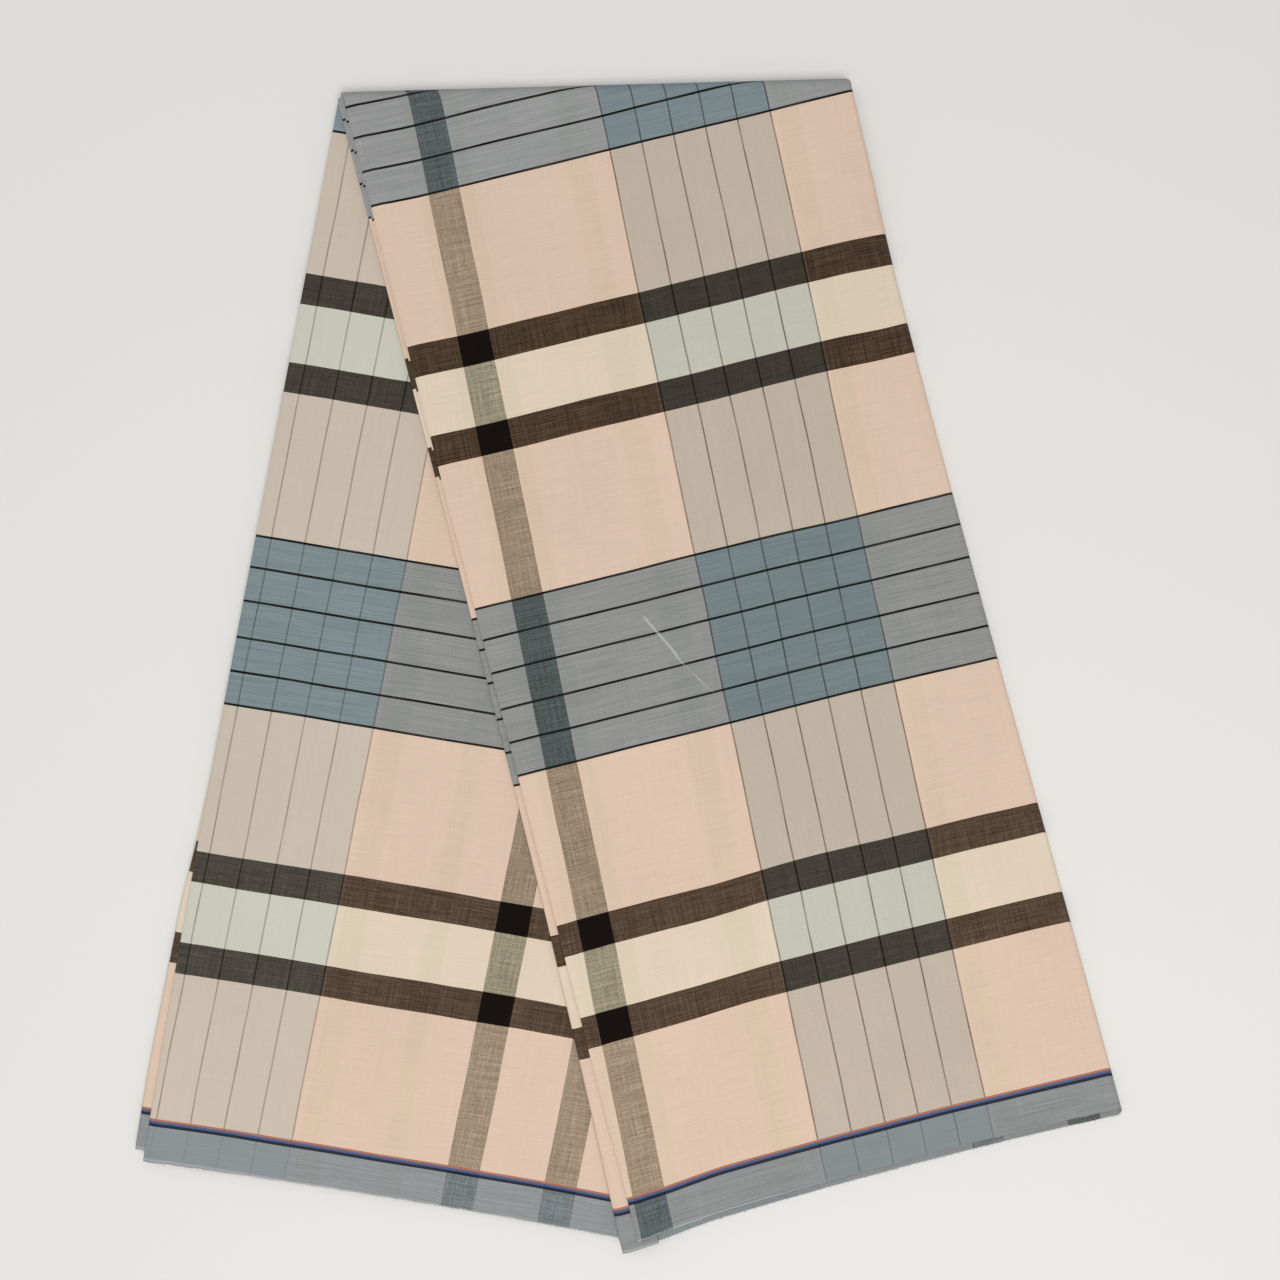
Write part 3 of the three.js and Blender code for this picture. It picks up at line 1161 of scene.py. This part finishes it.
        return add(MIX, links, 2, data_type="RGBA", blend_type="MULTIPLY")

    def _lined(self, threads: Threads, colour: Value) -> Value:
        """Returns the colour with the black lines and the border lines woven in.

        Args:
            threads: the sockets that every part reads.
            colour: the colour so far.

        Returns:
            The new colour's socket.
        """
        add, half = threads.add, BLACK_LINE_WIDTH / 2
        depth = {0: threads.warp_slubs, 1: 0.5, 2: 0.72}
        dark = add(MATH, depth, operation="MULTIPLY_ADD", use_clamp=True)
        lines = [(Band(place - half, place + half, Yarn.BLACK), dark) for place in BLACK_LINES]
        lines += [(band, 0.97) for band in BORDER_LINES]
        for band, strength in lines:
            here = add(MATH, band.window(threads.side), operation="COMPARE")
            here = add(MATH, {0: here, 1: strength}, operation="MULTIPLY")
            links = {0: here, 6: colour, 7: linear(band.yarn.value)}
            colour = add(MIX, links, 2, data_type="RGBA")
        return colour

    def _press_height(self, threads: Threads) -> Value:
        """Returns the height of the pressed creases, in millimetres.

        Args:
            threads: the sockets that every part reads.

        Returns:
            The height's socket.
        """
        add, place, ridges = threads.add, (threads.u, threads.v), []
        for line in PRESS_LINES:
            start, run = Vector(line.start), Vector(line.end) - Vector(line.start)
            passed, away = (
                self._summed(add, -start.dot(aim), zip(place, aim))
                for aim in (run.normalized(), run.orthogonal().normalized())
            )
            ends = self._eased(add, passed, 0, run.length, run.length / 4)
            ridge = self._eased(add, away, -line.width, line.width, line.width)
            high = add(MATH, {0: ridge, 1: line.height}, operation="MULTIPLY")
            ridges.append((high, ends))
        return self._summed(add, 0.0, ridges)

    def _paled_and_highlighted(self, threads: Threads, colour: Value, press: Value) -> Value:
        """Returns the colour, paler at a selvedge, with a painted highlight on sharp creases.

        Args:
            threads: the sockets that every part reads.
            colour: the colour so far.
            press: the pressed creases' height.

        Returns:
            The new colour's socket.
        """
        add = threads.add
        edge = add(MATH, {0: threads.side, 1: 0.6}, operation="LESS_THAN")
        # Painted highlight along the ridges of the sharpest pressed creases, stronger where they
        # stand higher.
        sharp = {"Value": press, "From Min": 0.14, "From Max": 0.30, "To Max": 0.42}
        crease_highlight = add(RAMP, sharp)
        pale = add(MATH, {0: edge, 1: 0.25, 2: crease_highlight}, operation="MULTIPLY_ADD")
        links = {0: pale, 6: colour, 7: linear(Tint.PALE_EDGE_AND_CREASE_HIGHLIGHT.value)}
        return add(MIX, links, 2, data_type="RGBA")

    def _relief(self, threads: Threads, press: Value) -> Value:
        """Returns the normal of threads, slubs, small puckers and pressed creases.

        Args:
            threads: the sockets that every part reads.
            press: the pressed creases' height.

        Returns:
            The normal's socket.
        """
        add = threads.add
        place = add("ShaderNodeCombineXYZ", {0: threads.u, 1: threads.v})
        pucker = self._grain(add, place, PUCKERS)
        reliefs = ((threads.warp_slubs, 0.06), (threads.weft_slubs, 0.06), (pucker, 0.6))
        height = self._summed(add, press, reliefs)
        return add("ShaderNodeBump", {"Height": height, "Distance": MM, "Strength": 0.9})


@dataclass
class Lungi:
    """The folded cloth, stretch by stretch.

    Rows, layers and columns are counts, and the other sizes are in millimetres. The slips say how
    far the edge plies, the inner and the outer one, have slid along their strip, and nose_u where
    their noses lie in the cloth. wave_height is that of the slow waves, and hem_waver is how far
    a cut edge strays. The fringe is the thread ends along the selvedges.
    """

    cotton: bpy.types.Material
    strip_rows: int = 150
    fold_rows: int = 24
    edge_rows: int = 120
    edge_fold_rows: int = 12
    hidden_rows: int = 90
    hidden_fold_rows: int = 14
    hidden_layers: int = 6
    hidden_columns: int = 18
    wave_height: float = 0.16
    hem_waver: float = 0.5
    upper_slips: tuple[float, float] = (4.7, 6.7)
    lower_slip: float = 5.0
    nose_u: float = 96.0
    fringe_spacing: float = 0.9
    fringe_radii: tuple[float, float] = (0.13, 0.07)
    fringe_lengths: tuple[float, float] = (0.2, 1.1)
    fringe_root: float = 0.4
    fringe_lean: float = 0.6
    fringe_droop: float = 0.25

    def finish(
        self, piece: bpy.types.Object, replaced: Sequence[str]
    ) -> bpy.types.Object:
        """Dresses a piece and ties it to the frame.

        Args:
            piece: the new piece.
            replaced: the solids that it stands for.

        Returns:
            The piece.
        """
        piece.data.materials.append(self.cotton)
        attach(piece, BODY)
        if replaced:
            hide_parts(*replaced)
        log.info("%s: %d faces", piece.name, len(piece.data.polygons))
        return piece

    def strip_ply(
        self,
        name: str,
        strip: Strip,
        creases: tuple[Sequence[Crease], Sequence[Crease]],
        longer: float,
        replaced: str,
    ) -> bpy.types.Object:
        """Makes the outer ply of one strip, which wraps the hidden plies.

        Args:
            name: the piece's name.
            strip: the strip it belongs to.
            creases: those of the side away from the axis, and of the side next to it.
            longer: how far the side next to the axis reaches past the hem, in millimetres.
            replaced: the solid that it stands for.

        Returns:
            The piece.
        """
        cloth = upper_cloth if strip.over else lower_cloth
        rows = self.strip_rows
        columns = (SHOWN_COLUMNS, OTHER_COLUMNS)
        section = wrapping_section(*(columns if strip.over else reversed(columns)))
        up = 1 if strip.over else -1
        half = INNERMOST + STRIP / 2

        def shares(row: int) -> float:
            """Returns the share of the length at a row, closer together at the hem."""
            return 1 - (1 - row / rows) ** 1.12

        def place(row: int, column: int) -> Vector:
            """Returns a point's place.

            Args:
                row: the point's row.
                column: its column.

            Returns:
                The place, in millimetres.
            """
            station, along = section[column], shares(row)
            depth = 1 - (station.radius - INNERMOST) / STRIP
            point = strip.plan(station.across, along, station.aside, longer * depth * along)
            height = LAY.height(strip, point, station.radius)
            outer = station.radius > half
            side = smooth(abs(station.radius - half), 0.6 * STRIP / 2, STRIP / 2)
            near_fold = smooth(along, 0.0, 0.05)
            lift = sum(crease_lift(crease, point) for crease in creases[0 if outer else 1])
            lift += self.wave_height * unevenness(point, 1.0 if strip.over else 5.0)
            facing = up if outer else -up
            if height < 0.4 and facing < 0:
                lift = min(0.0, lift)
            ragged = self.hem_waver * noise.noise(Vector((point.x / 5, station.radius, 3)))
            point = point + Vector((0, ragged * smooth(along, 0.99, 1.0)))
            return Vector((point.x, point.y, height + facing * lift * side * near_fold))

        def coordinates(row: int, column: int) -> Vector:
            """Returns a point's cloth coordinates.

            Args:
                row: the point's row.
                column: its column.

            Returns:
                u and v, in millimetres.
            """
            station, along = section[column], shares(row)
            across, aside = station.opened, station.opened_mm
            if not strip.over:
                across, aside = 2 - across, WRAP - aside
            return cloth(strip.opened(across, along, aside), across, along)

        piece = lay_sheet(name, rows + 1, len(section), place, coordinates)
        return self.finish(piece, [replaced])

    def fold_ply(self) -> bpy.types.Object:
        """Makes the outer ply where the strip is doubled over.

        Returns:
            The piece.
        """
        section = wrapping_section(SHOWN_COLUMNS, OTHER_COLUMNS)
        rows = self.fold_rows
        outward = LAY.fold_outward()

        def place(row: int, column: int) -> Vector:
            """Returns a point's place.

            Args:
                row: the point's row.
                column: its column.

            Returns:
                The place, in millimetres.
            """
            station = section[column]
            above = UPPER.plan(station.across, 0, station.aside)
            below = LOWER.plan(station.across, 0, station.aside)
            return LAY.over_fold(above, below, station.radius, row / rows)

        def coordinates(row: int, column: int) -> Vector:
            """Returns a point's cloth coordinates.

            Args:
                row: the point's row.
                column: its column.

            Returns:
                u and v, in millimetres.
            """
            station, turned = section[column], row / rows
            across, aside = station.opened, station.opened_mm
            point = UPPER.opened(across, 0, aside)
            above = upper_cloth(point, across, 0)
            ahead = upper_cloth(point + outward * math.pi * station.radius, across, 0) - above
            across, aside = 2 - across, WRAP - aside
            below = lower_cloth(LOWER.opened(across, 0, aside), across, 0)
            return above + ahead * turned + (below - above - ahead) * turned**3

        piece = lay_sheet("top_fold_cloth", rows + 1, len(section), place, coordinates)
        return self.finish(piece, ["top_fold_ply"])

    def edge_ply(
        self, name: str, over: bool, inner: bool, last: float, replaced: str
    ) -> bpy.types.Object:
        """Makes a folded edge ply that shows past a strip's left edge.

        Args:
            name: the piece's name.
            over: whether it belongs to the upper strip, from which it turns over the top fold.
            inner: whether it is the one next to the top fold's axis.
            last: the share of the length that it runs to.
            replaced: the solid that it stands for.

        Returns:
            The piece.
        """
        strip, table = (UPPER, UPPER_EDGE) if over else (LOWER, LOWER_EDGE)
        cloth = upper_cloth if over else lower_cloth
        slipped = self.upper_slips[0 if inner else 1] if over else self.lower_slip
        steps, turns = self.edge_rows, self.edge_fold_rows
        rows = [(last * i / steps, 0.0) for i in range(steps, -1, -1)]
        if over:
            rows += [(0.0, i / turns) for i in range(1, turns + 1)]
        first_thick = table[0].thick

        def section(along: float, turned: float) -> list[Station]:
            """Returns the section at a row.

            Args:
                along: share of the strip's length.
                turned: share of the turn over the top fold.

            Returns:
                The section's points in order.
            """
            row = edge_row(table, along)
            reach = row.inner if inner else row.outer
            if turned:
                end = LOWER_EDGE[0]
                reach = lerp(reach, end.inner if inner else end.outer, turned)
            low, high = HIDDEN_LOW, HIDDEN_LOW + row.thick
            if not inner:
                low, high = HIDDEN_LOW + first_thick + GAP, HIDDEN_HIGH
            swell = 0.25 * noise.noise(Vector((along * 9, low, 2)))
            return edge_section(reach + swell, low, high, 1 if over else -1, self.nose_u)

        def slide(along: float) -> float:
            """Returns how far the ply has slid out at the hem, in millimetres."""
            return slipped * smooth(along, 0.9, 1.0) if over and inner else 0.0

        sections = [section(*row) for row in rows]

        def place(row: int, column: int) -> Vector:
            """Returns a point's place.

            Args:
                row: the point's row.
                column: its column.

            Returns:
                The place, in millimetres.
            """
            (along, turned), station = rows[row], sections[row][column]
            point = strip.plan(0, along, station.aside, slide(along))
            if turned:
                below = LOWER.plan(0, 0, station.aside)
                return LAY.over_fold(point, below, station.radius, turned)
            return Vector((point.x, point.y, LAY.height(strip, point, station.radius)))

        def coordinates(row: int, column: int) -> Vector:
            """Returns a point's cloth coordinates.

            Args:
                row: the point's row.
                column: its column.

            Returns:
                u and v, in millimetres.
            """
            (along, turned), station = rows[row], sections[row][column]
            v = cloth(strip.plan(0, along, station.aside, slide(along)), 0, along).y + slipped
            if turned:
                below = lower_cloth(LOWER.plan(0, 0, station.aside), 0, 0).y + slipped
                v = lerp(v, below, turned)
            return Vector((station.opened_mm, v))

        piece = lay_sheet(name, len(rows), len(sections[0]), place, coordinates)
        return self.finish(piece, [replaced])

    def hidden_cloth(self) -> bpy.types.Object:
        """Makes the hidden plies: one cloth folded to and fro, doubled over with the strips.

        Returns:
            The piece.
        """
        section = pleated_section(self.hidden_layers, self.hidden_columns)
        short = 2.5
        upper_last = 1 - short / (UPPER.hem_right - UPPER.fold_right).length
        lower_last = 1 - short / (LOWER.hem_left - LOWER.fold_left).length
        steps, turns = self.hidden_rows, self.hidden_fold_rows
        rows = [(UPPER, upper_last * i / steps, 0.0) for i in range(steps, -1, -1)]
        rows += [(UPPER, 0.0, i / turns) for i in range(1, turns)]
        rows += [(LOWER, lower_last * i / steps, 1.0) for i in range(steps + 1)]

        def place(row: int, column: int) -> Vector:
            """Returns a point's place.

            Args:
                row: the point's row.
                column: its column.

            Returns:
                The place, in millimetres.
            """
            (strip, along, turned), station = rows[row], section[column]
            point = strip.plan(station.across, along, station.aside)
            if 0 < turned < 1:
                below = LOWER.plan(station.across, 0, station.aside)
                return LAY.over_fold(point, below, station.radius, turned)
            ragged = 0.8 * noise.noise(Vector((point.x / 9, station.radius * 3, 5)))
            slid = ragged * smooth(along, 0.985, 1.0)
            return Vector((point.x, point.y + slid, LAY.height(strip, point, station.radius)))

        def coordinates(row: int, column: int) -> Vector:
            """Returns a point's cloth coordinates.

            Args:
                row: the point's row.
                column: its column.

            Returns:
                u and v, in millimetres.
            """
            (strip, along, turned), station = rows[row], section[column]
            v = upper_cloth(UPPER.plan(0.5, along), 0.5, along).y
            if strip is LOWER:
                v = lower_cloth(LOWER.plan(0.5, along), 0.5, along).y
            return Vector((station.opened * STRIP_WIDTH + station.opened_mm, v))

        piece = lay_sheet(
            "hidden_cloth", len(rows), len(section), place, coordinates, thickness=0.3
        )
        return self.finish(piece, ["hidden_plies"])

    def fringe(self, name: str, strip: Strip, radius: float, longer: float) -> bpy.types.Object:
        """Makes the short thread ends along one ply's selvedge.

        Args:
            name: the piece's name.
            strip: the strip that it belongs to.
            radius: the ply's distance from the top fold's axis, in millimetres.
            longer: how far the ply reaches past the hem.

        Returns:
            The piece.
        """
        draw = random.Random(name)
        bm = bmesh.new()
        count = int((strip.hem_right - strip.hem_left).length / self.fringe_spacing)
        for i in range(count):
            across = (i + draw.uniform(0.1, 0.9)) / count
            long = draw.uniform(*self.fringe_lengths)
            root = strip.plan(across, 1, 0, longer - self.fringe_root)
            lean = draw.uniform(-self.fringe_lean, self.fringe_lean)
            tip = strip.plan(across, 1, lean, longer + long)
            height = LAY.height(strip, root, radius)
            start = Vector((root.x, root.y, height))
            end = Vector((tip.x, tip.y, max(0.2, height - draw.uniform(0.0, self.fringe_droop))))
            run = end - start
            thick, thin = self.fringe_radii
            made = bmesh.ops.create_cone(
                bm, cap_ends=True, segments=4, radius1=thick, radius2=thin, depth=run.length
            )
            turned = run.to_track_quat("Z", "Y").to_matrix().to_4x4()
            matrix = Matrix.Translation(start + run / 2) @ turned
            bmesh.ops.transform(bm, matrix=matrix, verts=made["verts"])
        bmesh.ops.scale(bm, vec=Vector((MM, MM, MM)), verts=bm.verts)
        pale_place = (100 * MM, 4 * MM)  # plain border, between its stripes
        layer = bm.loops.layers.uv.new(UV_MAP)
        for face in bm.faces:
            for loop in face.loops:
                loop[layer].uv = pale_place
        return self.finish(finished_object(name, bm), [])


class Lamp(NamedTuple):
    """A soft square lamp that faces the cloth: its place and side in metres, and its watts."""

    name: str
    place: tuple[float, float, float]
    size: float
    power: float


@dataclass
class Studio:
    """A plain pale floor, soft light and a camera straight above the cloth, in metres."""

    camera_place: tuple[float, float, float] = (0.00635, 0.01265, 0.707)
    view_angle: float = 51.45
    lamps: tuple[Lamp, ...] = (
        Lamp("key", (0.25, -0.8, 1.7), 0.9, 18),
        Lamp("fill", (-0.6, 0.7, 1.7), 1.4, 6.5),
    )
    floor_drop: float = 0.0004
    floor_colour: str = "E4E2DE"
    room_colour: str = "F2F3F5"
    room_light: float = 0.52

    def build(self) -> None:
        """Makes the floor, the lights, the camera and the light of the room."""
        bm = bmesh.new()
        bmesh.ops.create_grid(bm, x_segments=1, y_segments=1, size=4.0)
        bmesh.ops.translate(bm, verts=bm.verts, vec=Vector((0, 0, -self.floor_drop)))
        floor = finished_object("floor", bm)
        paint = bpy.data.materials.new("pale_matt_paint")
        paint.use_nodes = True
        shader = paint.node_tree.nodes["Principled BSDF"]
        shader.inputs["Base Color"].default_value = linear(self.floor_colour)
        shader.inputs["Roughness"].default_value = 0.8
        floor.data.materials.append(paint)
        for lamp in self.lamps:
            self._hang(lamp)
        world = bpy.data.worlds.new("room")
        world.use_nodes = True
        background = world.node_tree.nodes["Background"]
        background.inputs["Color"].default_value = linear(self.room_colour)
        background.inputs["Strength"].default_value = self.room_light
        bpy.context.scene.world = world
        bpy.context.scene.view_settings.view_transform = "Standard"
        self._camera()

    def _hang(self, lamp: Lamp) -> None:
        """Adds a lamp to the scene.

        Args:
            lamp: the lamp.
        """
        light = bpy.data.lights.new(lamp.name, "AREA")
        light.size = lamp.size
        light.energy = lamp.power
        hung = bpy.data.objects.new(lamp.name, light)
        hung.location = lamp.place
        hung.rotation_euler = (-Vector(lamp.place)).to_track_quat("-Z", "Y").to_euler()
        bpy.context.scene.collection.objects.link(hung)

    def _camera(self) -> None:
        """Adds the camera."""
        data = bpy.data.cameras.new("overhead")
        data.sensor_width = 36.0
        data.angle = math.radians(self.view_angle)
        data.clip_start = 0.01
        camera = bpy.data.objects.new("overhead", data)
        camera.location = self.camera_place
        bpy.context.scene.collection.objects.link(camera)
        bpy.context.scene.camera = camera


def main() -> None:
    """Builds the cloth and the studio, and reports each piece."""
    logging.basicConfig(level=logging.INFO, format="%(message)s")
    Studio().build()
    lungi = Lungi(CheckedCotton().build())
    upper = lungi.strip_ply(
        "upper_outer_cloth", UPPER, (TOP_CREASES, UNDER_CREASES), UNDER_REACH, "upper_outer_ply"
    )
    lower = lungi.strip_ply(
        "lower_outer_cloth", LOWER, (UNDER_CREASES, LOWER_CREASES), 0.0, "lower_outer_ply"
    )
    fold = lungi.fold_ply()
    edges = [
        lungi.edge_ply("upper_edge_cloth_inner", True, True, 1.0, "upper_edge_ply_inner"),
        lungi.edge_ply("upper_edge_cloth_outer", True, False, 0.5, "upper_edge_ply_outer"),
        lungi.edge_ply("lower_edge_cloth_inner", False, True, 0.991, "lower_edge_ply_inner"),
        lungi.edge_ply("lower_edge_cloth_outer", False, False, 0.991, "lower_edge_ply_outer"),
    ]
    hidden = lungi.hidden_cloth()
    upper_fringe = [
        lungi.fringe("upper_top_fringe", UPPER, OUTERMOST - SHELL / 2, 0.0),
        lungi.fringe("upper_under_fringe", UPPER, INNERMOST + SHELL / 2, UNDER_REACH),
    ]
    lower_fringe = [
        lungi.fringe("lower_top_fringe", LOWER, INNERMOST + SHELL / 2, 0.0),
        lungi.fringe("lower_under_fringe", LOWER, OUTERMOST - SHELL / 2, 0.0),
    ]


if __name__ == "__main__":
    main()
    bpy.context.view_layer.update()
